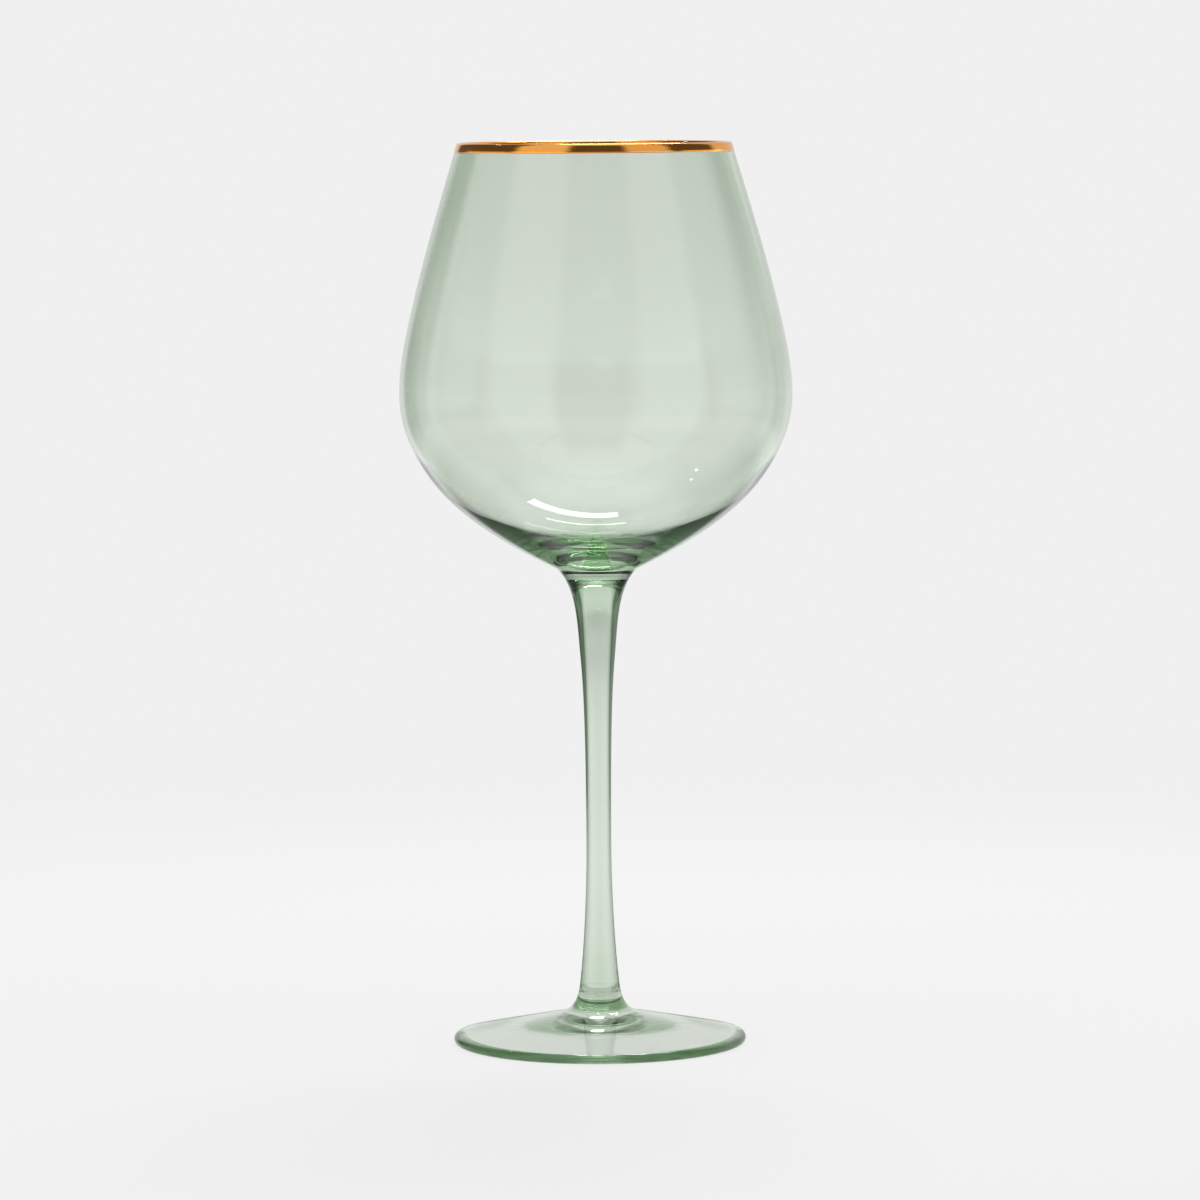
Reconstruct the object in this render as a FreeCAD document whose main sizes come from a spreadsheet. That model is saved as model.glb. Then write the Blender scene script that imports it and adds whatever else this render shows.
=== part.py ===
"""Stemmed wine glass: a blown bowl, a drawn stem and a spun foot, with a gold band over the lip.

Millimetres, +Z up, origin at the centre of the face that the glass stands on.
Every piece is turned about the Z axis from an outline whose points are held by the size sheet.
"""
import FreeCAD, Part

import math
import os

import Sketcher
from FreeCAD import Vector

# Name, size and meaning of each driving dimension. Lengths are in millimetres, angles in degrees.
SIZES = [
    ("collar_height", 14.6, "height of the joint between foot and stem above the table"),
    ("stem_length", 107.0, "from the foot joint to the bowl joint"),
    ("bowl_height", 108.3, "from the bowl joint to the top of the glass lip"),
    ("lip_radius", 34.2, "radius of the middle of the lip's wall"),
    ("lip_wall", 1.5, "wall at the lip, which is rounded over"),
    ("lip_lean", 17.0, "angle of the wall from upright at the lip"),
    ("lip_straight", 2.6, "straight stretch of wall below the rounded lip"),
    ("upper_pull", 18.5, "how far the straight lean carries on into the upper wall"),
    ("side_radius", 45.7, "outline pull of the side"),
    ("side_height", 70.9, "height of the side pull above the bowl joint"),
    ("belly_radius", 51.4, "outline pull of the widest part"),
    ("belly_height", 45.9, "height of the belly pull above the bowl joint"),
    ("shoulder_radius", 48.0, "outline pull of the turn under the belly"),
    ("shoulder_height", 29.3, "height of the shoulder pull above the bowl joint"),
    ("base_radius", 33.7, "outline pull of the bowl's underside"),
    ("base_height", 11.5, "height of the underside pull above the bowl joint"),
    ("side_wall", 1.5, "wall at the side and the belly"),
    ("shoulder_wall_in", 1.4, "wall at the shoulder, measured inwards"),
    ("shoulder_wall_up", 1.0, "wall at the shoulder, measured upwards"),
    ("base_wall_in", 0.8, "wall of the underside, measured inwards"),
    ("base_wall_up", 2.1, "wall of the underside, measured upwards"),
    ("floor_spread", 12.5, "radius over which the cavity's floor is nearly flat"),
    ("floor_thickness", 4.6, "solid glass between the bowl joint and the cavity's floor"),
    ("bowl_joint_radius", 10.1, "radius of the joint between bowl and stem"),
    ("top_flare_radius", 5.6, "outline pull of the flare under the bowl"),
    ("top_flare_drop", 4.6, "drop of that pull below the bowl joint"),
    ("neck_radius", 4.9, "outline pull of the neck below the flare"),
    ("neck_drop", 20.5, "drop of the neck pull below the bowl joint"),
    ("taper_drop", 33.5, "drop below the bowl joint of the end of the taper"),
    ("waist_radius", 3.2, "radius of the thinnest part of the stem"),
    ("waist_height", 37.5, "height of the waist above the foot joint"),
    ("spread_height", 19.5, "height above the foot joint at which the stem starts to spread"),
    ("ankle_radius", 4.3, "outline pull of the spread above the foot joint"),
    ("ankle_height", 6.4, "height of the ankle pull above the foot joint"),
    ("foot_joint_radius", 5.1, "radius of the joint between stem and foot"),
    ("collar_drop", 2.3, "drop below the foot joint of the collar's first pull"),
    ("collar_pull_radius", 6.9, "outline pull of the collar's hollow curve"),
    ("collar_pull_height", 8.6, "height of that pull above the table"),
    ("collar_run", 2.9, "how far the cone's slope carries on into the collar"),
    ("collar_end_radius", 12.5, "radius at which the collar has run out into the cone"),
    ("foot_radius", 37.4, "radius of the foot"),
    ("foot_edge", 2.4, "thickness of the foot's rounded edge"),
    ("foot_slope", 11.4, "slope of the foot's upper side"),
    ("land_width", 2.0, "width of the flat ring that the foot stands on"),
    ("hollow_rise", 4.2, "height of the hollow under the foot"),
    ("hollow_flat", 18.0, "radius over which the hollow's top is nearly flat"),
    ("hollow_run", 12.0, "width over which the hollow follows the foot's slope down to the flat ring"),
    ("band_outside", 1.8, "reach of the gold band down the outside, below the rounded lip"),
    ("band_inside", 0.9, "reach of the gold band down the inside"),
    ("band_film", 0.1, "thickness of the gold band"),
]

# A radius of zero lies on the upright axis, and a height of zero on a piece's own base line.
ON_AXIS = "0"

# How a sketch names the places on a drawn piece.
START, FINISH, CENTRE = 1, 2, 3


def make_sheet(doc):
    """Write the driving dimensions into a spreadsheet, one named cell each."""
    sheet = doc.addObject("Spreadsheet::Sheet", "Sizes")
    for row, (name, value, meaning) in enumerate(SIZES, start=1):
        sheet.set(f"A{row}", meaning)
        sheet.set(f"B{row}", str(value))
        sheet.setAlias(f"B{row}", name)
    doc.recompute()
    return sheet


def spot(radius, height):
    """A point of an outline: its radius and height as expressions of the sheet's names."""
    names = {name for name, _, _ in SIZES}
    texts = []
    for text in (radius, height):
        words = text.split()
        texts.append(" ".join(f"Sizes.{word}" if word in names else word for word in words))
    return tuple(texts)


def lip_spot(outward, down):
    """A point given from the middle of the rounded lip: across the wall, and down along it."""
    return spot(
        f"lip_radius + ( {outward} ) * cos( lip_lean * 1 deg ) + ( {down} ) * sin( lip_lean * 1 deg )",
        f"bowl_height - lip_wall / 2 + ( {outward} ) * sin( lip_lean * 1 deg )"
        f" - ( {down} ) * cos( lip_lean * 1 deg )",
    )


def slope_spot(back, lift):
    """A point given from the middle of the foot's round edge: back up the cone, and off it."""
    return spot(
        f"foot_radius - foot_edge / 2 - ( {back} ) * cos( foot_slope * 1 deg )"
        f" + ( {lift} ) * sin( foot_slope * 1 deg )",
        f"foot_edge / 2 + ( {back} ) * sin( foot_slope * 1 deg ) + ( {lift} ) * cos( foot_slope * 1 deg )",
    )


class Outline:
    """A closed outline in the XZ plane, drawn point by point, each point held by the sheet."""

    def __init__(self, body, name, start):
        self.sketch = body.newObject("Sketcher::SketchObject", name)
        plane = next(item for item in body.Origin.OriginFeatures if item.Role == "XZ_Plane")
        self.sketch.AttachmentSupport = [(plane, "")]
        self.sketch.MapMode = "FlatFace"
        self.last_point = self.vector(start)
        self.first_end = None
        self.last_end = None

    def vector(self, point):
        """The point's present place, worked out from the sheet."""
        radius, height = (float(self.sketch.evalExpression(text)) for text in point)
        return Vector(radius, height, 0)

    def hold(self, piece, end, point):
        """Hold one end of a drawn piece at a point's radius and height."""
        for kind, axis, text in (("DistanceX", -2, point[0]), ("DistanceY", -1, point[1])):
            if text == ON_AXIS:
                self.sketch.addConstraint(Sketcher.Constraint("PointOnObject", piece, end, axis))
                continue
            distance = float(self.sketch.evalExpression(text))
            constraint = Sketcher.Constraint(kind, -1, 1, piece, end, distance)
            index = self.sketch.addConstraint(constraint)
            self.sketch.setExpression(f"Constraints[{index}]", text)

    def join(self, start_end, finish_end, how="Coincident"):
        """Join a new piece to the last one. The first piece waits for close()."""
        if self.last_end is None:
            self.first_end = start_end
        else:
            self.sketch.addConstraint(Sketcher.Constraint(how, *self.last_end, *start_end))
        self.last_end = finish_end

    def line(self, point):
        """A straight piece to a point."""
        finish = self.vector(point)
        piece = self.sketch.addGeometry(Part.LineSegment(self.last_point, finish))
        self.join((piece, START), (piece, FINISH))
        self.hold(piece, FINISH, point)
        self.last_point = finish

    def round_edge(self, point):
        """A half turn or less to a point, that leaves the last straight piece without a corner."""
        finish = self.vector(point)
        straight = self.sketch.Geometry[self.last_end[0]]
        heading = (straight.EndPoint - straight.StartPoint).normalize()
        sideways = Vector(-heading.y, heading.x, 0)
        chord = finish - self.last_point
        reach = chord.Length ** 2 / (2 * chord.dot(sideways))
        middle = self.last_point + sideways * reach
        # Arcs always run anticlockwise, so one that turns clockwise is drawn from its far end.
        ends = [self.last_point, finish] if reach > 0 else [finish, self.last_point]
        angles = [math.atan2(end.y - middle.y, end.x - middle.x) for end in ends]
        circle = Part.Circle(middle, Vector(0, 0, 1), abs(reach))
        piece = self.sketch.addGeometry(Part.ArcOfCircle(circle, *angles))
        near, far = (START, FINISH) if reach > 0 else (FINISH, START)
        self.join((piece, near), (piece, far), "Tangent")
        self.hold(piece, far, point)
        self.last_point = finish

    def curve(self, *points):
        """A smooth cubic piece that is pulled by its points and ends at the last one."""
        pulls = [self.last_point] + [self.vector(point) for point in points]
        rings = [
            self.sketch.addGeometry(Part.Circle(pull, Vector(0, 0, 1), 1.0), True) for pull in pulls
        ]
        shape = Part.BSplineCurve()
        shape.buildFromPoles(pulls, False, 3)
        piece = self.sketch.addGeometry(shape)
        for order, ring in enumerate(rings):
            alignment = "InternalAlignment:Sketcher::BSplineControlPoint"
            self.sketch.addConstraint(Sketcher.Constraint(alignment, ring, CENTRE, piece, order))
            self.sketch.addConstraint(Sketcher.Constraint("Weight", ring, 1.0))
        self.join((piece, START), (piece, FINISH))
        for ring, point in zip(rings[1:], points):
            self.hold(ring, CENTRE, point)
        self.last_point = pulls[-1]

    def close(self):
        """Join the last piece's end to the first one's start, which holds that start too."""
        self.sketch.addConstraint(Sketcher.Constraint("Coincident", *self.last_end, *self.first_end))
        return self.sketch


def turned_piece(doc, name, base_height):
    """A body with its own label, standing at a height above the table."""
    body = doc.addObject("PartDesign::Body", name)
    body.Label = name
    body.setExpression("Placement.Base.z", spot("0", base_height)[1])
    return body


def turn(body, sketch):
    """Turn a closed outline once round the upright axis."""
    revolution = body.newObject("PartDesign::Revolution", f"{body.Name}_turned")
    revolution.Profile = sketch
    revolution.ReferenceAxis = (sketch, ["V_Axis"])
    revolution.Angle = 360
    sketch.Visibility = False


def make_bowl(doc):
    """The blown bowl: thin leaning walls, a rounded lip, and a thick solid base."""
    body = turned_piece(doc, "bowl", "collar_height + stem_length")
    outline = Outline(body, "bowl_outline", spot(ON_AXIS, ON_AXIS))
    outline.line(spot("bowl_joint_radius", ON_AXIS))
    outline.curve(
        spot("base_radius", "base_height"),
        spot("shoulder_radius", "shoulder_height"),
        spot("belly_radius", "belly_height"),
        spot("side_radius", "side_height"),
        lip_spot("lip_wall / 2", "lip_straight + upper_pull"),
        lip_spot("lip_wall / 2", "lip_straight"),
    )
    outline.line(lip_spot("lip_wall / 2", "0"))
    outline.round_edge(lip_spot("0 - lip_wall / 2", "0"))
    outline.line(lip_spot("0 - lip_wall / 2", "lip_straight"))
    outline.curve(
        lip_spot("0 - lip_wall / 2", "lip_straight + upper_pull"),
        spot("side_radius - side_wall", "side_height"),
        spot("belly_radius - side_wall", "belly_height"),
        spot("shoulder_radius - shoulder_wall_in", "shoulder_height + shoulder_wall_up"),
        spot("base_radius - base_wall_in", "base_height + base_wall_up"),
        spot("floor_spread", "floor_thickness"),
        spot(ON_AXIS, "floor_thickness"),
    )
    outline.line(spot(ON_AXIS, ON_AXIS))
    turn(body, outline.close())
    return body


def make_stem(doc):
    """The drawn stem: a solid rod, thin at the waist, that flares to the bowl and to the foot."""
    body = turned_piece(doc, "stem", "collar_height")
    outline = Outline(body, "stem_outline", spot(ON_AXIS, ON_AXIS))
    outline.line(spot("foot_joint_radius", ON_AXIS))
    outline.curve(
        spot("ankle_radius", "ankle_height"),
        spot("waist_radius", "spread_height"),
        spot("waist_radius", "waist_height"),
    )
    outline.curve(
        spot("waist_radius", "stem_length - taper_drop"),
        spot("neck_radius", "stem_length - neck_drop"),
        spot("top_flare_radius", "stem_length - top_flare_drop"),
        spot("bowl_joint_radius", "stem_length"),
    )
    outline.line(spot(ON_AXIS, "stem_length"))
    outline.line(spot(ON_AXIS, ON_AXIS))
    turn(body, outline.close())
    return body


def make_foot(doc):
    """The spun foot: a shallow cone with a round edge, a collar, and a hollow underside."""
    body = turned_piece(doc, "foot", "0")
    land_inner = spot("foot_radius - foot_edge / 2 - land_width", ON_AXIS)
    collar_end = (
        "( foot_radius - foot_edge / 2 - collar_end_radius ) / cos( foot_slope * 1 deg )"
        " + foot_edge / 2 * tan( foot_slope * 1 deg )"
    )
    outline = Outline(body, "foot_outline", land_inner)
    outline.line(spot("foot_radius - foot_edge / 2", ON_AXIS))
    outline.round_edge(slope_spot("0", "foot_edge / 2"))
    outline.line(slope_spot(collar_end, "foot_edge / 2"))
    outline.curve(
        slope_spot(collar_end + " + collar_run", "foot_edge / 2"),
        spot("collar_pull_radius", "collar_pull_height"),
        spot("foot_joint_radius + collar_drop * ( foot_joint_radius - ankle_radius ) / ankle_height",
             "collar_height - collar_drop"),
        spot("foot_joint_radius", "collar_height"),
    )
    outline.line(spot(ON_AXIS, "collar_height"))
    outline.line(spot(ON_AXIS, "hollow_rise"))
    outline.curve(
        spot("hollow_flat", "hollow_rise"),
        spot("foot_radius - foot_edge / 2 - land_width - hollow_run",
             "hollow_run * tan( foot_slope * 1 deg )"),
        land_inner,
    )
    turn(body, outline.close())
    return body


def make_gold_rim(doc):
    """The gold lustre band: a film over the lip, further down outside than inside."""
    body = turned_piece(doc, "gold_rim", "collar_height + stem_length")
    outer, outer_skin = "lip_wall / 2", "lip_wall / 2 + band_film"
    inner, inner_skin = "0 - lip_wall / 2", "0 - lip_wall / 2 - band_film"
    outline = Outline(body, "gold_outline", lip_spot(outer_skin, "band_outside"))
    outline.line(lip_spot(outer_skin, "0"))
    outline.round_edge(lip_spot(inner_skin, "0"))
    outline.line(lip_spot(inner_skin, "band_inside"))
    outline.line(lip_spot(inner, "band_inside"))
    outline.line(lip_spot(inner, "0"))
    outline.round_edge(lip_spot(outer, "0"))
    outline.line(lip_spot(outer, "band_outside"))
    outline.line(lip_spot(outer_skin, "band_outside"))
    turn(body, outline.close())
    return body


def check(doc, bodies):
    """Stop if any feature failed or a piece is not one sound solid."""
    for item in doc.Objects:
        if "Invalid" in item.State or "Error" in item.State:
            raise RuntimeError(f"{item.Name} did not build: {item.State}")
    for body in bodies:
        shape = body.Shape
        if shape.isNull() or not shape.isValid() or len(shape.Solids) != 1:
            raise RuntimeError(f"{body.Label} is not one valid solid")


def main():
    doc = FreeCAD.newDocument("wine_glass")
    make_sheet(doc)
    bodies = [make_bowl(doc), make_stem(doc), make_foot(doc), make_gold_rim(doc)]
    doc.recompute()
    check(doc, bodies)
    os.makedirs("parts", exist_ok=True)
    for body in bodies:
        body.Shape.exportStep(f"parts/{body.Label}.step")
        print(body.Label, "volume in cubic millimetres:", round(body.Shape.Volume, 1))


main()
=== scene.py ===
"""Visual model of a stemmed wine glass: tinted glass bowl, stem and foot with a gold lip.

Laid out as an add-on and run as a script. Outline sizes are millimetres, as they are drawn, and
are turned to metres when a mesh is made. Every piece is turned about the upright Z axis.
"""

import math

import bmesh
import bpy
from bpy.props import FloatProperty, FloatVectorProperty, IntProperty, PointerProperty
from mathutils import Matrix, Vector


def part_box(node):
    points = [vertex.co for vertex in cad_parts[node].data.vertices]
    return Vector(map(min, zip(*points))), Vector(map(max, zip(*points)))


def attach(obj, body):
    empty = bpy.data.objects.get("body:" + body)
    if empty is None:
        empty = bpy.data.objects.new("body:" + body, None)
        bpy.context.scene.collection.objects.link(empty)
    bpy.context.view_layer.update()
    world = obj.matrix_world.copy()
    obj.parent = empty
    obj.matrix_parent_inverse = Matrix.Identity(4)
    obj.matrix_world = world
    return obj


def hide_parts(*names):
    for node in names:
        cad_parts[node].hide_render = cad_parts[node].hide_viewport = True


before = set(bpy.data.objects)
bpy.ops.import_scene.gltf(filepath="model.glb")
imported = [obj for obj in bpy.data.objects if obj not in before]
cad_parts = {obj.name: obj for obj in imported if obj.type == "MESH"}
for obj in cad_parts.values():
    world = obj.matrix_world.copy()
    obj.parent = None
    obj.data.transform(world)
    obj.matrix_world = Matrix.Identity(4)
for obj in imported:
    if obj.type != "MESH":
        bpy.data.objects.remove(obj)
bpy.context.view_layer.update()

bl_info = {
    "name": "Wine glass",
    "version": (1, 0, 0),
    "blender": (4, 5, 0),
    "location": "View3D > Sidebar > Wine glass",
    "description": "Builds a tinted wine glass with a gold lip in a plain studio",
    "category": "Add Mesh",
}

MM = 0.001


def to_linear(hex_colour):
    """An sRGB hex colour as linear red, green and blue."""
    channels = [int(hex_colour[start:start + 2], 16) / 255 for start in (0, 2, 4)]
    return tuple(
        value / 12.92 if value <= 0.04045 else ((value + 0.055) / 1.055) ** 2.4 for value in channels
    )


def millimetres(node):
    """Lowest and highest corners of a node of the frame, in millimetres."""
    low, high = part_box(node)
    return [value / MM for value in low], [value / MM for value in high]


# Heights and radii that the pieces share, read from the frame.
LIP_TOP = millimetres("bowl")[1][2]
BOWL_JOINT = millimetres("bowl")[0][2]
FOOT_JOINT = millimetres("foot")[1][2]
FOOT_RADIUS = millimetres("foot")[1][0]
BOWL_JOINT_RADIUS = millimetres("stem")[1][0]


class GlassSettings(bpy.types.PropertyGroup):
    """Sizes and colours of the glass."""

    lip_wall: FloatProperty(name="Lip wall", description="Wall at the lip (mm)", default=1.5)
    lip_radius: FloatProperty(
        name="Lip radius", description="Radius of the middle of the lip's wall (mm)", default=34.2
    )
    lip_lean: FloatProperty(
        name="Lip lean", description="Angle of the wall from upright at the lip",
        default=math.radians(17.0), subtype="ANGLE",
    )
    side_wall: FloatProperty(name="Side wall", description="Wall at the side (mm)", default=1.5)
    floor_thickness: FloatProperty(
        name="Floor", description="Solid glass under the cavity's floor (mm)", default=4.6
    )
    band_outside: FloatProperty(
        name="Band outside", description="Reach of the gold band down the outside (mm)", default=1.8
    )
    band_inside: FloatProperty(
        name="Band inside", description="Reach of the gold band down the inside (mm)", default=0.9
    )
    hollow_rise: FloatProperty(
        name="Hollow rise", description="Height of the hollow under the foot (mm)", default=4.2
    )
    tint: FloatVectorProperty(
        name="Tint", description="Colour that passes through the glass", subtype="COLOR",
        default=to_linear("adcfa6"), min=0, max=1,
    )
    density: FloatProperty(name="Density", description="Absorption (per metre)", default=62.0)
    skin: FloatVectorProperty(
        name="Skin", description="Tint that each face of the bowl and stem adds", subtype="COLOR",
        default=to_linear("f9fcf8"), min=0, max=1,
    )
    gold: FloatVectorProperty(
        name="Gold", description="Colour of the gold lustre", subtype="COLOR",
        default=to_linear("ffb45c"), min=0, max=1,
    )
    segments: IntProperty(name="Segments", description="Steps round each piece", default=256)


class StageSettings(bpy.types.PropertyGroup):
    """Colours and strengths of the studio."""

    backdrop: FloatVectorProperty(
        name="Backdrop", description="Colour behind the glass", subtype="COLOR",
        default=to_linear("f0f0f0"), min=0, max=1,
    )
    top_power: FloatProperty(name="Softbox", description="Power of the high softbox (W)", default=5.9)
    strip_power: FloatProperty(name="Strip", description="Power of the strip under it (W)", default=0.35)
    glint_power: FloatProperty(name="Glint", description="Power of the small side lamp (W)", default=0.08)


# --- outlines -------------------------------------------------------------------------------------

def smooth_run(pulls, steps):
    """Points along a smooth cubic curve that is pulled by the given (radius, height) points."""
    curve = bpy.data.curves.new("outline", "CURVE")
    curve.dimensions = "3D"
    curve.resolution_u = steps
    spline = curve.splines.new("NURBS")
    spline.points.add(len(pulls) - 1)
    for point, (radius, height) in zip(spline.points, pulls):
        point.co = (radius, 0, height, 1)
    spline.order_u = 4
    spline.use_endpoint_u = True
    spline.resolution_u = steps
    holder = bpy.data.objects.new("outline", curve)
    mesh = bpy.data.meshes.new_from_object(holder)
    points = [(vertex.co.x, vertex.co.z) for vertex in mesh.vertices]
    bpy.data.meshes.remove(mesh)
    bpy.data.objects.remove(holder)
    bpy.data.curves.remove(curve)
    return points


def straight_run(start, finish, steps):
    """Points along a straight line, with both ends."""
    start, finish = Vector(start), Vector(finish)
    return [tuple(start.lerp(finish, step / steps)) for step in range(steps + 1)]


def round_run(middle, radius, start, finish, steps):
    """Points along an arc between two angles, with both ends."""
    points = []
    for step in range(steps + 1):
        angle = start + (finish - start) * step / steps
        points.append((middle[0] + radius * math.cos(angle), middle[1] + radius * math.sin(angle)))
    return points


def lip_place(glass, outward, down):
    """A point given from the middle of the rounded lip: across the wall, and down along it."""
    lean = glass.lip_lean
    return (
        glass.lip_radius + outward * math.cos(lean) + down * math.sin(lean),
        LIP_TOP - glass.lip_wall / 2 + outward * math.sin(lean) - down * math.cos(lean),
    )


def turned_mesh(runs, segments):
    """Turn an outline, given as runs of (radius, height) points, once round the Z axis."""
    outline = [runs[0][0]]
    for run in runs:
        for point in run:
            if math.dist(point, outline[-1]) > 1e-5:
                outline.append(point)
    shell = bmesh.new()
    corners = [shell.verts.new((radius * MM, 0, height * MM)) for radius, height in outline]
    if math.dist(outline[0], outline[-1]) < 1e-5:
        shell.verts.remove(corners.pop())
        corners.append(corners[0])
    for lower, upper in zip(corners, corners[1:]):
        shell.edges.new((lower, upper))
    bmesh.ops.spin(
        shell, geom=shell.verts[:] + shell.edges[:], cent=(0, 0, 0), axis=(0, 0, 1),
        angle=math.tau, steps=segments, use_merge=True,
    )
    bmesh.ops.remove_doubles(shell, verts=shell.verts, dist=1e-7)
    bmesh.ops.recalc_face_normals(shell, faces=shell.faces)
    for face in shell.faces:
        face.smooth = True
    return shell


def finish_piece(shell, name, nodes, material):
    """Make the mesh an object that stands for its nodes of the frame."""
    mesh = bpy.data.meshes.new(name)
    shell.to_mesh(mesh)
    shell.free()
    mesh.materials.append(material)
    piece = bpy.data.objects.new(name, mesh)
    bpy.context.scene.collection.objects.link(piece)
    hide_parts(*nodes)
    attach(piece, "root")


def mark_joint(shell, height, heart=0.0):
    """Flag the flat faces at a fused joint, outside a radius, and crease their rims."""
    layers = shell.faces.layers.float
    flag = layers.get("fused") or layers.new("fused")
    for face in shell.faces:
        middle = face.calc_center_median()
        level = abs(middle.z - height * MM) < 1e-5 and abs(face.normal.z) > 0.999
        if level and middle.xy.length > heart * MM:
            face[flag] = 1.0
    for edge in shell.edges:
        flags = {round(face[flag]) for face in edge.link_faces}
        if len(flags) > 1:
            edge.smooth = False


# --- materials ------------------------------------------------------------------------------------

def node(tree, kind, inputs=None, **settings):
    """Add one node to a tree, with its settings and its inputs, each a value or another output."""
    added = tree.nodes.new(kind)
    for name, value in settings.items():
        setattr(added, name, value)
    for name, value in (inputs or {}).items():
        socket = added.inputs[name]
        if isinstance(value, bpy.types.NodeSocket):
            tree.links.new(value, socket)
        else:
            socket.default_value = value
    return added


def graded(tree, along, stops):
    """A grey that follows stops, each a (position, brightness), as a value goes from 0 to 1."""
    ramp = node(tree, "ShaderNodeValToRGB", {"Fac": along})
    elements = ramp.color_ramp.elements
    while len(elements) < len(stops):
        elements.new(0.5)
    for element, (position, value) in zip(elements, stops):
        element.position = position
        element.color = (value, value, value, 1)
    return ramp.outputs["Color"]


# Blown and drawn glass is never quite even: it swells over about 14 mm, by a depth in millimetres.
SWELLS_PER_METRE = 70.0
SWELL_DEPTH = 0.012

GLASS_IOR = 1.5


def tinted_glass(name, tint, density, skin, edge_shade, turn, stops, push=1.0, outwards=False):
    """Soda-lime glass tinted in the melt: clear, fire-polished, greener where it is thicker.

    Light takes on tint and density on its way through, and skin at each face. Where the face turns
    away from the eye, from the first of the facings in turn to the second, it takes on the edge's
    colour instead, which is painted shade: the darkening that glass shows at its edges. stops say
    how much, by height, or outwards from the middle, in metres, and push times more, up to all of it.
    """
    material = bpy.data.materials.new(name)
    material.use_nodes = True
    tree = material.node_tree
    tree.nodes.clear()
    # Inside a fused joint light goes straight on, and has no face to take a tint from.
    flag = node(tree, "ShaderNodeAttribute", attribute_name="fused", attribute_type="GEOMETRY")
    ior = node(
        tree, "ShaderNodeMapRange",
        {"Value": flag.outputs["Fac"], "To Min": GLASS_IOR, "To Max": 1.0},
    )
    facing = node(tree, "ShaderNodeLayerWeight", {"Blend": 0.5})
    edge = node(
        tree, "ShaderNodeMapRange",
        {"Value": facing.outputs["Facing"], "From Min": turn[0], "From Max": turn[1], "To Max": push},
    )
    place = node(tree, "ShaderNodeTexCoord")
    parts = node(tree, "ShaderNodeSeparateXYZ", {"Vector": place.outputs["Object"]})
    reach = node(tree, "ShaderNodeVectorMath", {0: place.outputs["Object"]}, operation="LENGTH")
    share = graded(tree, reach.outputs["Value"] if outwards else parts.outputs["Z"], stops)
    edge_shade_share = node(
        tree, "ShaderNodeMath", {0: edge.outputs["Result"], 1: share}, operation="MULTIPLY",
        use_clamp=True,
    )
    # Painted shade: the skin's tint gives way to the edge's darker colour where the glass turns from the
    # eye.
    body = node(
        tree, "ShaderNodeMix",
        {"Factor": edge_shade_share.outputs["Value"], "A": (*skin, 1), "B": (*edge_shade, 1)}, data_type="RGBA",
    )
    face = node(
        tree, "ShaderNodeMix",
        {"Factor": flag.outputs["Fac"], "A": body.outputs["Result"], "B": (1, 1, 1, 1)},
        data_type="RGBA",
    )
    swell = node(
        tree, "ShaderNodeTexNoise",
        {"Vector": place.outputs["Object"], "Scale": SWELLS_PER_METRE, "Detail": 1.0},
    )
    free = node(
        tree, "ShaderNodeMapRange", {"Value": flag.outputs["Fac"], "To Min": 1.0, "To Max": 0.0}
    )
    waves = node(
        tree, "ShaderNodeBump",
        {
            "Height": swell.outputs["Fac"], "Distance": SWELL_DEPTH * MM,
            "Strength": free.outputs["Result"],
        },
    )
    surface = node(
        tree, "ShaderNodeBsdfPrincipled",
        {
            "Base Color": face.outputs["Result"], "Roughness": 0.0, "Transmission Weight": 1.0,
            "IOR": ior.outputs["Result"], "Normal": waves.outputs["Normal"],
        },
    )
    volume = node(tree, "ShaderNodeVolumeAbsorption", {"Color": (*tint, 1), "Density": density})
    output = node(tree, "ShaderNodeOutputMaterial")
    tree.links.new(surface.outputs["BSDF"], output.inputs["Surface"])
    tree.links.new(volume.outputs["Volume"], output.inputs["Volume"])
    return material


# Brush strokes run round the lip. They are about 12 mm long and 0.2 mm wide.
STROKES_PER_RADIAN = 3.0
STROKES_PER_METRE = 5000.0
STROKE_DEPTH = 0.0007
SPECKS_PER_METRE = 2200.0

# What is left of red, green and blue where the film is thinnest.
THIN_FILM = (0.92, 0.80, 0.62)

# Roughness in the strokes' hollows and on their crests, and how much more a worn speck has.
STROKE_ROUGHNESS = (0.05, 0.11)
WORN_ROUGHNESS = 0.12


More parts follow.
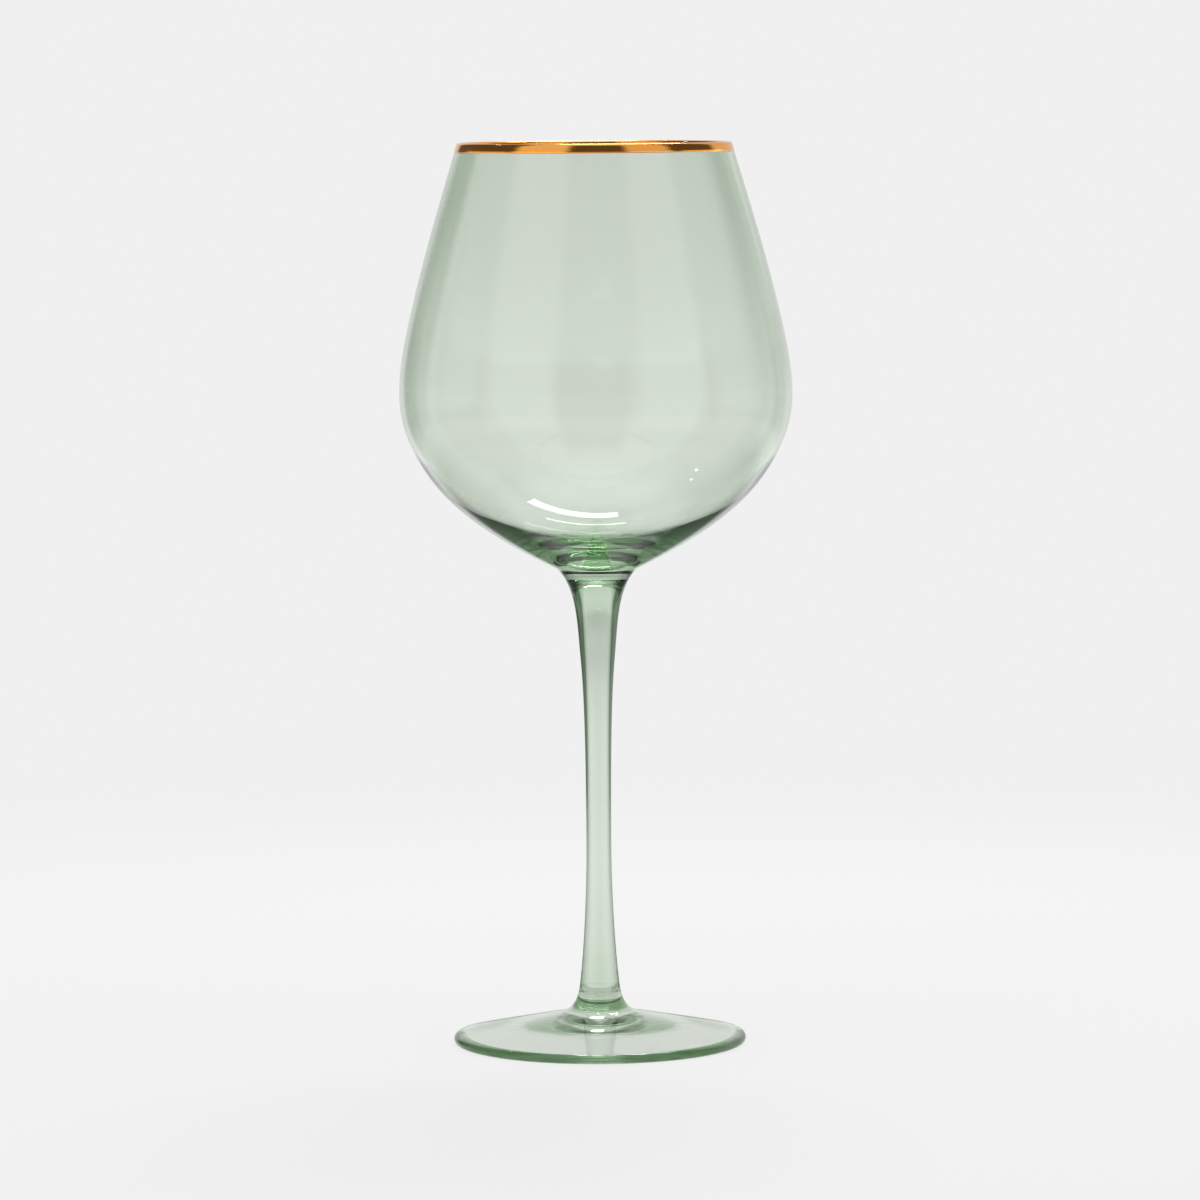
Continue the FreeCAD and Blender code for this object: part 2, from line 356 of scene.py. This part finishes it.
def gold_lustre(colour):
    """Liquid bright gold, brushed on and fired: a mirror film that keeps the brush's strokes.

    The film is rubbed thinner and redder on the strokes' crests, and has dull specks where it is worn.
    """
    material = bpy.data.materials.new("fired_gold_lustre")
    material.use_nodes = True
    tree = material.node_tree
    tree.nodes.clear()
    place = node(tree, "ShaderNodeTexCoord")
    parts = node(tree, "ShaderNodeSeparateXYZ", {"Vector": place.outputs["Object"]})
    round_lip = node(
        tree, "ShaderNodeMath", {0: parts.outputs["X"], 1: parts.outputs["Y"]}, operation="ARCTAN2"
    )
    along = node(
        tree, "ShaderNodeMath", {0: round_lip.outputs["Value"], 1: STROKES_PER_RADIAN},
        operation="MULTIPLY",
    )
    across = node(
        tree, "ShaderNodeMath", {0: parts.outputs["Z"], 1: STROKES_PER_METRE}, operation="MULTIPLY"
    )
    stroke = node(
        tree, "ShaderNodeCombineXYZ", {"X": along.outputs["Value"], "Y": across.outputs["Value"]}
    )
    strokes = node(
        tree, "ShaderNodeTexNoise", {"Vector": stroke.outputs["Vector"], "Scale": 1.0, "Detail": 3.0}
    )
    speck = node(
        tree, "ShaderNodeTexNoise",
        {"Vector": place.outputs["Object"], "Scale": SPECKS_PER_METRE, "Detail": 1.0},
    )
    worn = node(
        tree, "ShaderNodeMapRange",
        {
            "Value": speck.outputs["Fac"], "From Min": 0.62, "From Max": 0.72,
            "To Max": WORN_ROUGHNESS,
        },
    )
    dull = node(
        tree, "ShaderNodeMapRange",
        {
            "Value": strokes.outputs["Fac"], "From Min": 0.3, "From Max": 0.7,
            "To Min": STROKE_ROUGHNESS[0], "To Max": STROKE_ROUGHNESS[1],
        },
    )
    roughness = node(
        tree, "ShaderNodeMath", {0: dull.outputs["Result"], 1: worn.outputs["Result"]}, operation="ADD"
    )
    thinned = [value * left for value, left in zip(colour, THIN_FILM)]
    film = node(
        tree, "ShaderNodeMix",
        {"Factor": strokes.outputs["Fac"], "A": (*colour, 1), "B": (*thinned, 1)}, data_type="RGBA",
    )
    ridges = node(
        tree, "ShaderNodeBump",
        {"Height": strokes.outputs["Fac"], "Distance": STROKE_DEPTH * MM, "Strength": 1.0},
    )
    surface = node(
        tree, "ShaderNodeBsdfPrincipled",
        {
            "Base Color": film.outputs["Result"], "Metallic": 1.0, "Roughness": roughness.outputs["Value"],
            "Normal": ridges.outputs["Normal"],
        },
    )
    output = node(tree, "ShaderNodeOutputMaterial")
    tree.links.new(surface.outputs["BSDF"], output.inputs["Surface"])
    return material


# --- pieces ---------------------------------------------------------------------------------------

# Each glass piece stops this far short of a joint, and the gold stands this far off the lip, so that
# two faces are never in the same place.
HAIR = 0.006

# The heart of the bowl's joint stays a thin flat gap, which shows as a pale lens over the stem.
JOINT_HEART = 6.0

# Pulls of the bowl's outline, as (radius, height above the bowl joint).
BOWL_SIDE = (45.7, 70.9)
BOWL_BELLY = (51.4, 45.9)
BOWL_SHOULDER = (48.0, 29.3)
BOWL_BASE = (33.7, 11.5)

# Wall at the lower two of those pulls, measured inwards and upwards.
SHOULDER_WALL = (1.4, 1.0)
BASE_WALL = (0.8, 2.1)

# Radius of the last pull of the cavity's floor, which makes it flat in the middle.
FLOOR_SPREAD = 12.5

# The wall is straight for this far under the lip's round, and its next pull is this much lower.
LIP_STRAIGHT = 2.6
UPPER_PULL = 18.5

# Pulls of the stem's outline, as (radius, height above the foot joint).
FOOT_JOINT_RADIUS = 5.1
ANKLE = (4.3, 6.4)
WAIST_RADIUS = 3.2
SPREAD_HEIGHT = 19.5
WAIST_HEIGHT = 37.5

# The same at its top, as drops below the bowl joint.
TAPER_DROP = 33.5
NECK_RADIUS, NECK_DROP = 4.9, 20.5
FLARE_RADIUS, FLARE_DROP = 5.6, 4.6

# The foot: a cone with a rounded edge, and the collar in its middle.
EDGE_RADIUS = 1.2
FOOT_SLOPE = math.radians(11.4)
LAND_WIDTH = 2.0
HOLLOW_FLAT = 18.0
HOLLOW_RUN = 12.0
COLLAR_END = 12.5
COLLAR_RUN = 2.84
COLLAR_PULL = (6.9, 8.6)
COLLAR_DROP = 2.3

# Thickness of the gold film, drawn far thicker than the real one.
FILM = 0.1

# Painted shade: glass that turns away from the eye goes from its skin's tint to its edge's darker
# colour between these facings. The foot's painted shade is the other way round: it is deepest where
# it faces the eye.
BOWL_TURN = (0.38, 0.68)
STEM_TURN = (0.20, 0.50)
FOOT_TURN = (0.66, 0.40)
# Colours of that painted shade at the edges of bowl, stem and foot.
BOWL_EDGE_SHADE = to_linear("cadac7")
STEM_EDGE_SHADE = to_linear("274527")
FOOT_EDGE_SHADE = to_linear("8bb186")
STEM_PUSH = 2.8

# Shares of the painted edge shade, by height in metres on bowl and stem and outwards on the foot.
BOWL_STOPS = ((0.126, 0.05), (0.133, 0.20), (0.141, 0.24), (0.150, 0.60), (0.190, 0.62), (0.213, 1.0))
STEM_STOPS = ((0.025, 0.20), (0.060, 0.33), (0.090, 0.55), (0.110, 1.0), (0.1165, 1.0), (0.1182, 0.05))
FOOT_STOPS = ((0.0350, 0.0), (0.0364, 1.0))

# The thin foot takes on more of its tint at its faces, and less on the way through: its density is
# this share of the bowl's.
FOOT_SKIN = to_linear("e7ece5")
FOOT_DENSITY = 0.5


def raised(point):
    """A pull of the bowl at its height above the table."""
    return point[0], point[1] + BOWL_JOINT


class PIECE_OT_bowl(bpy.types.Operator):
    """Blow the bowl: thin leaning walls, a rounded lip and a thick base"""

    bl_idname = "wine_glass.bowl"
    bl_label = "Bowl"

    def execute(self, context):
        glass = context.scene.wine_glass
        half = glass.lip_wall / 2
        lean = glass.lip_lean
        joint = BOWL_JOINT + HAIR
        outer = [
            (BOWL_JOINT_RADIUS, joint), raised(BOWL_BASE), raised(BOWL_SHOULDER), raised(BOWL_BELLY),
            raised(BOWL_SIDE), lip_place(glass, half, LIP_STRAIGHT + UPPER_PULL),
            lip_place(glass, half, LIP_STRAIGHT),
        ]
        inner = [
            lip_place(glass, -half, LIP_STRAIGHT),
            lip_place(glass, -half, LIP_STRAIGHT + UPPER_PULL),
            raised((BOWL_SIDE[0] - glass.side_wall, BOWL_SIDE[1])),
            raised((BOWL_BELLY[0] - glass.side_wall, BOWL_BELLY[1])),
            raised((BOWL_SHOULDER[0] - SHOULDER_WALL[0], BOWL_SHOULDER[1] + SHOULDER_WALL[1])),
            raised((BOWL_BASE[0] - BASE_WALL[0], BOWL_BASE[1] + BASE_WALL[1])),
            raised((FLOOR_SPREAD, glass.floor_thickness)),
            raised((0, glass.floor_thickness)),
        ]
        runs = [
            straight_run((0, joint), outer[0], 3),
            smooth_run(outer, 16),
            straight_run(outer[-1], lip_place(glass, half, 0), 3),
            round_run(lip_place(glass, 0, 0), half, lean, lean + math.pi, 12),
            straight_run(lip_place(glass, -half, 0), inner[0], 3),
            smooth_run(inner, 16),
        ]
        shell = turned_mesh(runs, glass.segments)
        mark_joint(shell, joint, JOINT_HEART)
        material = tinted_glass(
            "tinted_bowl_glass", glass.tint, glass.density, glass.skin, BOWL_EDGE_SHADE, BOWL_TURN,
            BOWL_STOPS,
        )
        finish_piece(shell, "glass_bowl", ["bowl"], material)
        return {"FINISHED"}


class PIECE_OT_stem(bpy.types.Operator):
    """Draw the stem: a solid rod that flares to the bowl and to the foot"""

    bl_idname = "wine_glass.stem"
    bl_label = "Stem"

    def execute(self, context):
        glass = context.scene.wine_glass
        low, high = FOOT_JOINT + HAIR, BOWL_JOINT - HAIR
        lower = [
            (FOOT_JOINT_RADIUS, low), (ANKLE[0], FOOT_JOINT + ANKLE[1]),
            (WAIST_RADIUS, FOOT_JOINT + SPREAD_HEIGHT), (WAIST_RADIUS, FOOT_JOINT + WAIST_HEIGHT),
        ]
        upper = [
            lower[-1], (WAIST_RADIUS, BOWL_JOINT - TAPER_DROP), (NECK_RADIUS, BOWL_JOINT - NECK_DROP),
            (FLARE_RADIUS, BOWL_JOINT - FLARE_DROP), (BOWL_JOINT_RADIUS, high),
        ]
        runs = [
            straight_run((0, low), lower[0], 2),
            smooth_run(lower, 24),
            smooth_run(upper, 24),
            straight_run(upper[-1], (0, high), 3),
        ]
        shell = turned_mesh(runs, glass.segments // 2)
        mark_joint(shell, high, JOINT_HEART)
        mark_joint(shell, low)
        material = tinted_glass(
            "tinted_stem_glass", glass.tint, glass.density, glass.skin, STEM_EDGE_SHADE, STEM_TURN,
            STEM_STOPS, push=STEM_PUSH,
        )
        finish_piece(shell, "glass_stem", ["stem"], material)
        return {"FINISHED"}


class PIECE_OT_foot(bpy.types.Operator):
    """Spin the foot: a shallow cone with a round edge, a collar and a hollow underside"""

    bl_idname = "wine_glass.foot"
    bl_label = "Foot"

    def execute(self, context):
        glass = context.scene.wine_glass
        top = FOOT_JOINT - HAIR
        edge_middle = (FOOT_RADIUS - EDGE_RADIUS, EDGE_RADIUS)
        land = edge_middle[0] - LAND_WIDTH
        cone_end = (
            edge_middle[0] + EDGE_RADIUS * math.sin(FOOT_SLOPE),
            EDGE_RADIUS + EDGE_RADIUS * math.cos(FOOT_SLOPE),
        )

        def on_cone(radius):
            return radius, cone_end[1] + (cone_end[0] - radius) * math.tan(FOOT_SLOPE)

        # The collar's top carries on the slope of the stem over it.
        spread = COLLAR_DROP * (FOOT_JOINT_RADIUS - ANKLE[0]) / ANKLE[1]
        collar = [
            on_cone(COLLAR_END), on_cone(COLLAR_END - COLLAR_RUN), COLLAR_PULL,
            (FOOT_JOINT_RADIUS + spread, FOOT_JOINT - COLLAR_DROP), (FOOT_JOINT_RADIUS, top),
        ]
        hollow = [
            (0, glass.hollow_rise), (HOLLOW_FLAT, glass.hollow_rise),
            (land - HOLLOW_RUN, HOLLOW_RUN * math.tan(FOOT_SLOPE)), (land, 0),
        ]
        runs = [
            smooth_run(hollow, 20),
            straight_run((land, 0), (edge_middle[0], 0), 3),
            round_run(edge_middle, EDGE_RADIUS, -math.pi / 2, math.pi / 2 - FOOT_SLOPE, 16),
            straight_run(cone_end, collar[0], 16),
            smooth_run(collar, 16),
            straight_run(collar[-1], (0, top), 2),
        ]
        shell = turned_mesh(runs, glass.segments)
        mark_joint(shell, top)
        material = tinted_glass(
            "tinted_foot_glass", glass.tint, glass.density * FOOT_DENSITY, FOOT_SKIN, FOOT_EDGE_SHADE,
            FOOT_TURN, FOOT_STOPS, outwards=True,
        )
        finish_piece(shell, "glass_foot", ["foot"], material)
        return {"FINISHED"}


class PIECE_OT_gold_rim(bpy.types.Operator):
    """Brush and fire the gold band over the lip"""

    bl_idname = "wine_glass.gold_rim"
    bl_label = "Gold rim"

    def execute(self, context):
        glass = context.scene.wine_glass
        half = glass.lip_wall / 2 + HAIR
        skin = glass.lip_wall / 2 + FILM
        lean = glass.lip_lean
        middle = lip_place(glass, 0, 0)
        runs = [
            straight_run(lip_place(glass, half, glass.band_outside),
                         lip_place(glass, skin, glass.band_outside), 1),
            straight_run(lip_place(glass, skin, glass.band_outside), lip_place(glass, skin, 0), 3),
            round_run(middle, skin, lean, lean + math.pi, 12),
            straight_run(lip_place(glass, -skin, 0), lip_place(glass, -skin, glass.band_inside), 2),
            straight_run(lip_place(glass, -skin, glass.band_inside),
                         lip_place(glass, -half, glass.band_inside), 1),
            straight_run(lip_place(glass, -half, glass.band_inside), lip_place(glass, -half, 0), 2),
            round_run(middle, half, lean + math.pi, lean, 12),
            straight_run(lip_place(glass, half, 0), lip_place(glass, half, glass.band_outside), 3),
        ]
        shell = turned_mesh(runs, glass.segments)
        material = gold_lustre(glass.gold)
        finish_piece(shell, "gold_lustre_rim", ["gold_rim"], material)
        return {"FINISHED"}


# --- stage ----------------------------------------------------------------------------------------

# The floor's radius in metres, and how far it lies below the foot in millimetres.
FLOOR_RADIUS = 0.65
FLOOR_GAP = 0.05

# The floor's own grey, and how brightly it glows, which together look as pale as the backdrop.
FLOOR_GREY = to_linear("6e6e6e")
FLOOR_GLOW = 0.872

# It fades into the backdrop between these distances from the glass, in metres.
FLOOR_FADE = (0.25, 0.60)

# Painted shade: a ring of the floor round the glass glows less, but only where the outside of the
# glass mirrors it, as if shadowed: its glow, and its strength by distance in metres.
MIRRORED_SHADE_GLOW = 0.08
MIRRORED_SHADE_STOPS = ((0.0, 0.0), (0.09, 0.0), (0.13, 1.0), (0.28, 1.0), (0.40, 0.0))


def floor_material(colour):
    """Matt white paper: pale, lit from above, fading into the backdrop at its edge."""
    material = bpy.data.materials.new("matt_paper_floor")
    material.use_nodes = True
    tree = material.node_tree
    tree.nodes.clear()
    place = node(tree, "ShaderNodeTexCoord")
    reach = node(tree, "ShaderNodeVectorMath", {0: place.outputs["Object"]}, operation="LENGTH")
    fade = node(
        tree, "ShaderNodeMapRange",
        {"Value": reach.outputs["Value"], "From Min": FLOOR_FADE[0], "From Max": FLOOR_FADE[1]},
        interpolation_type="SMOOTHSTEP",
    )
    matt = node(tree, "ShaderNodeBsdfDiffuse", {"Color": (*FLOOR_GREY, 1)})
    path = node(tree, "ShaderNodeLightPath")
    mirrored = node(
        tree, "ShaderNodeMath", {0: path.outputs["Glossy Depth"], 1: 0.5}, operation="GREATER_THAN"
    )
    outside = node(
        tree, "ShaderNodeMath", {0: path.outputs["Transmission Depth"], 1: 0.5}, operation="LESS_THAN"
    )
    both = node(
        tree, "ShaderNodeMath", {0: mirrored.outputs["Value"], 1: outside.outputs["Value"]},
        operation="MULTIPLY",
    )
    # Painted shade: the ring round the glass is dimmer only where the glass mirrors the floor.
    mirrored_shade = graded(tree, reach.outputs["Value"], MIRRORED_SHADE_STOPS)
    shaded = node(tree, "ShaderNodeMath", {0: both.outputs["Value"], 1: mirrored_shade}, operation="MULTIPLY")
    strength = node(
        tree, "ShaderNodeMapRange",
        {"Value": shaded.outputs["Value"], "To Min": FLOOR_GLOW, "To Max": MIRRORED_SHADE_GLOW},
    )
    glow = node(
        tree, "ShaderNodeEmission", {"Color": (*colour, 1), "Strength": strength.outputs["Result"]}
    )
    lit = node(tree, "ShaderNodeAddShader", {0: matt.outputs["BSDF"], 1: glow.outputs["Emission"]})
    clear = node(tree, "ShaderNodeBsdfTransparent")
    mixed = node(
        tree, "ShaderNodeMixShader",
        {"Fac": fade.outputs["Result"], 1: lit.outputs["Shader"], 2: clear.outputs["BSDF"]},
    )
    output = node(tree, "ShaderNodeOutputMaterial")
    tree.links.new(mixed.outputs["Shader"], output.inputs["Surface"])
    return material


# Width over which the edge of a panel fades in and out, to each side, in degrees.
SOFT_EDGE = 5


def panel(tree, azimuth, height, centre, reach, strength):
    """Brightness of a soft-edged upright panel, by direction: its centre and half sizes in degrees."""
    brightness = strength
    for angle, middle, half in zip((azimuth, height), centre, reach):
        away = node(tree, "ShaderNodeMath", {0: angle, 1: math.radians(middle)}, operation="SUBTRACT")
        # Wrapped, so that a panel behind the glass has no seam.
        turn = node(
            tree, "ShaderNodeMath", {0: away.outputs["Value"], 1: -math.pi, 2: math.pi},
            operation="WRAP",
        )
        size = node(tree, "ShaderNodeMath", {0: turn.outputs["Value"]}, operation="ABSOLUTE")
        edge = node(
            tree, "ShaderNodeMapRange",
            {
                "Value": size.outputs["Value"], "From Min": math.radians(half + SOFT_EDGE),
                "From Max": math.radians(half - SOFT_EDGE),
            },
            interpolation_type="SMOOTHSTEP",
        )
        lit = node(
            tree, "ShaderNodeMath", {0: edge.outputs["Result"], 1: brightness}, operation="MULTIPLY"
        )
        brightness = lit.outputs["Value"]
    return brightness


# Panels of the room: (azimuth, elevation) of the middle, half width and height, all in degrees,
# and brightness over the room's own. Azimuth 0 is the front, and 90 the right-hand side.
ROOM_PANELS = (
    ((-47, 10), (24, 48), 0.76),
    ((48, 10), (20, 48), 0.66),
    ((104, -5), (26, 16), 0.60),
    ((-104, -5), (26, 16), 0.35),
    ((163, 10), (44, 38), 0.62),
    ((0, -60), (180, 45), 0.65),
)

# Brightness of the room at heights from straight down, 0, to straight up, 1.
ROOM_STOPS = (
    (0.0, 0.16), (0.5, 0.14), (0.62, 0.11), (0.75, 0.10), (0.90, 0.12), (0.96, 0.9), (1.0, 1.2),
)

# Brightness behind clear glass: pale below the horizon, and darker above it.
CLEAR_STOPS = (
    (0.0, 0.87), (0.46, 0.87), (0.48, 0.81), (0.495, 0.70), (0.5, 0.64), (0.51, 0.54), (0.53, 0.38),
    (0.57, 0.36), (0.60, 0.40), (0.75, 0.42), (1.0, 0.30),
)

# The lit sheet that hangs behind the glass, in the same terms as the room's panels.
BACK_SHEET = ((180, 30), (50, 27), 0.55)


def studio_world(colour):
    """A pale sweep behind and under the glass, and a dim room with window panels round it."""
    world = bpy.data.worlds.new("studio")
    world.use_nodes = True
    tree = world.node_tree
    tree.nodes.clear()
    place = node(tree, "ShaderNodeTexCoord")
    parts = node(tree, "ShaderNodeSeparateXYZ", {"Vector": place.outputs["Generated"]})
    front = node(tree, "ShaderNodeMath", {0: parts.outputs["Y"], 1: -1.0}, operation="MULTIPLY")
    azimuth = node(
        tree, "ShaderNodeMath", {0: parts.outputs["X"], 1: front.outputs["Value"]}, operation="ARCTAN2"
    )
    height = node(tree, "ShaderNodeMath", {0: parts.outputs["Z"]}, operation="ARCSINE")
    rise = node(
        tree, "ShaderNodeMapRange", {"Value": parts.outputs["Z"], "From Min": -1.0, "From Max": 1.0}
    )
    directions = azimuth.outputs["Value"], height.outputs["Value"]
    room = graded(tree, rise.outputs["Result"], ROOM_STOPS)
    for window in ROOM_PANELS:
        light = panel(tree, *directions, *window)
        both = node(tree, "ShaderNodeVectorMath", {0: room, 1: light}, operation="ADD")
        room = both.outputs["Vector"]
    around = graded(tree, rise.outputs["Result"], CLEAR_STOPS)
    sheet = panel(tree, *directions, *BACK_SHEET)
    clear = node(tree, "ShaderNodeVectorMath", {0: around, 1: sheet}, operation="ADD")
    # Light that passes through glass comes from the pale surround, except that light mirrored once
    # across the bowl, from its far side, shows the room.
    path = node(tree, "ShaderNodeLightPath")
    once = node(
        tree, "ShaderNodeMath", {0: path.outputs["Glossy Depth"], 1: 1.0, 2: 0.5}, operation="COMPARE"
    )
    across = node(
        tree, "ShaderNodeMath", {0: path.outputs["Transmission Depth"], 1: 2.5}, operation="GREATER_THAN"
    )
    mirrored = node(
        tree, "ShaderNodeMath", {0: once.outputs["Value"], 1: across.outputs["Value"]},
        operation="MULTIPLY",
    )
    through = node(
        tree, "ShaderNodeMath", {0: path.outputs["Is Transmission Ray"], 1: mirrored.outputs["Value"]},
        operation="SUBTRACT", use_clamp=True,
    )
    seen = node(
        tree, "ShaderNodeMix",
        {"Factor": through.outputs["Value"], "A": room, "B": clear.outputs["Vector"]},
        data_type="RGBA",
    )
    studio = node(tree, "ShaderNodeBackground", {"Color": seen.outputs["Result"], "Strength": 1.0})
    behind = node(tree, "ShaderNodeBackground", {"Color": (*colour, 1), "Strength": 1.0})
    either = node(
        tree, "ShaderNodeMixShader",
        {
            "Fac": path.outputs["Is Camera Ray"], 1: studio.outputs["Background"],
            2: behind.outputs["Background"],
        },
    )
    output = node(tree, "ShaderNodeOutputWorld")
    tree.links.new(either.outputs["Shader"], output.inputs["Surface"])
    return world


# Distance of each lamp from the middle of the glass, in metres.
LAMP_DISTANCE = 1.2


def softbox(name, size, direction, tilt, power):
    """A rectangular lamp that faces the glass, with its azimuth, elevation and tilt in degrees."""
    lamp = bpy.data.lights.new(name, "AREA")
    lamp.shape = "RECTANGLE"
    lamp.size, lamp.size_y = size
    lamp.energy = power
    holder = bpy.data.objects.new(name, lamp)
    bpy.context.scene.collection.objects.link(holder)
    azimuth, elevation = (math.radians(angle) for angle in direction)
    away = Vector((
        math.sin(azimuth) * math.cos(elevation), -math.cos(azimuth) * math.cos(elevation),
        math.sin(elevation),
    ))
    holder.location = Vector((0, 0, LIP_TOP * MM / 2)) + away * LAMP_DISTANCE
    turned = away.to_track_quat("Z", "Y").to_matrix() @ Matrix.Rotation(math.radians(tilt), 3, "Z")
    holder.rotation_euler = turned.to_euler()
    holder.visible_camera = False


# The camera stands in front, a little over the lip, and looks slightly down. Its place is in metres,
# its turns in degrees and its lens in millimetres.
CAMERA_PLACE = (0.0007, -1.5764, 0.2493)
CAMERA_DOWN = 4.92
CAMERA_ROLL = -0.38
CAMERA_LENS = 186.3

# Thick glass leads light through many faces before it leaves.
GLASS_BOUNCES = 96


class STAGE_OT_studio(bpy.types.Operator):
    """Set out the floor, the lamps, the world and the camera"""

    bl_idname = "wine_glass.studio"
    bl_label = "Studio"

    def execute(self, context):
        scene = context.scene
        stage = scene.wine_glass_stage
        shell = bmesh.new()
        below_foot = Matrix.Translation((0, 0, -FLOOR_GAP * MM))
        bmesh.ops.create_circle(
            shell, cap_ends=True, radius=FLOOR_RADIUS, segments=96, matrix=below_foot,
        )
        mesh = bpy.data.meshes.new("floor")
        shell.to_mesh(mesh)
        shell.free()
        mesh.materials.append(floor_material(stage.backdrop))
        floor = bpy.data.objects.new("floor", mesh)
        scene.collection.objects.link(floor)
        scene.world = studio_world(stage.backdrop)
        softbox("back_softbox", size=(0.50, 0.13), direction=(169.5, 54), tilt=5, power=stage.top_power)
        softbox("back_strip", size=(0.36, 0.03), direction=(177, 41), tilt=0, power=stage.strip_power)
        softbox("side_glint", size=(0.06, 0.02), direction=(-123, 49), tilt=25, power=stage.glint_power)

        camera = bpy.data.cameras.new("camera")
        camera.sensor_width = 36
        camera.lens = CAMERA_LENS
        holder = bpy.data.objects.new("camera", camera)
        scene.collection.objects.link(holder)
        holder.location = CAMERA_PLACE
        pitch = Matrix.Rotation(math.radians(90 - CAMERA_DOWN), 4, "X")
        roll = Matrix.Rotation(math.radians(CAMERA_ROLL), 4, "Z")
        holder.rotation_euler = (pitch @ roll).to_euler()
        scene.camera = holder
        scene.view_settings.view_transform = "Standard"
        scene.cycles.max_bounces = GLASS_BOUNCES
        scene.cycles.glossy_bounces = GLASS_BOUNCES
        scene.cycles.transmission_bounces = GLASS_BOUNCES
        return {"FINISHED"}


class VIEW3D_PT_wine_glass(bpy.types.Panel):
    """Lists the pieces and the studio"""

    bl_label = "Wine glass"
    bl_space_type = "VIEW_3D"
    bl_region_type = "UI"
    bl_category = "Wine glass"

    def draw(self, context):
        for operator in OPERATORS:
            self.layout.operator(operator.bl_idname)
        for name in GlassSettings.__annotations__:
            self.layout.prop(context.scene.wine_glass, name)
        for name in StageSettings.__annotations__:
            self.layout.prop(context.scene.wine_glass_stage, name)


OPERATORS = (STAGE_OT_studio, PIECE_OT_bowl, PIECE_OT_stem, PIECE_OT_foot, PIECE_OT_gold_rim)
CLASSES = (GlassSettings, StageSettings, *OPERATORS, VIEW3D_PT_wine_glass)


def register():
    for kind in CLASSES:
        bpy.utils.register_class(kind)
    bpy.types.Scene.wine_glass = PointerProperty(type=GlassSettings)
    bpy.types.Scene.wine_glass_stage = PointerProperty(type=StageSettings)


def unregister():
    del bpy.types.Scene.wine_glass_stage
    del bpy.types.Scene.wine_glass
    for kind in reversed(CLASSES):
        bpy.utils.unregister_class(kind)


def main():
    register()
    bpy.ops.wine_glass.studio()
    bpy.ops.wine_glass.bowl()
    bpy.ops.wine_glass.stem()
    bpy.ops.wine_glass.foot()
    bpy.ops.wine_glass.gold_rim()


if __name__ == "__main__":
    main()
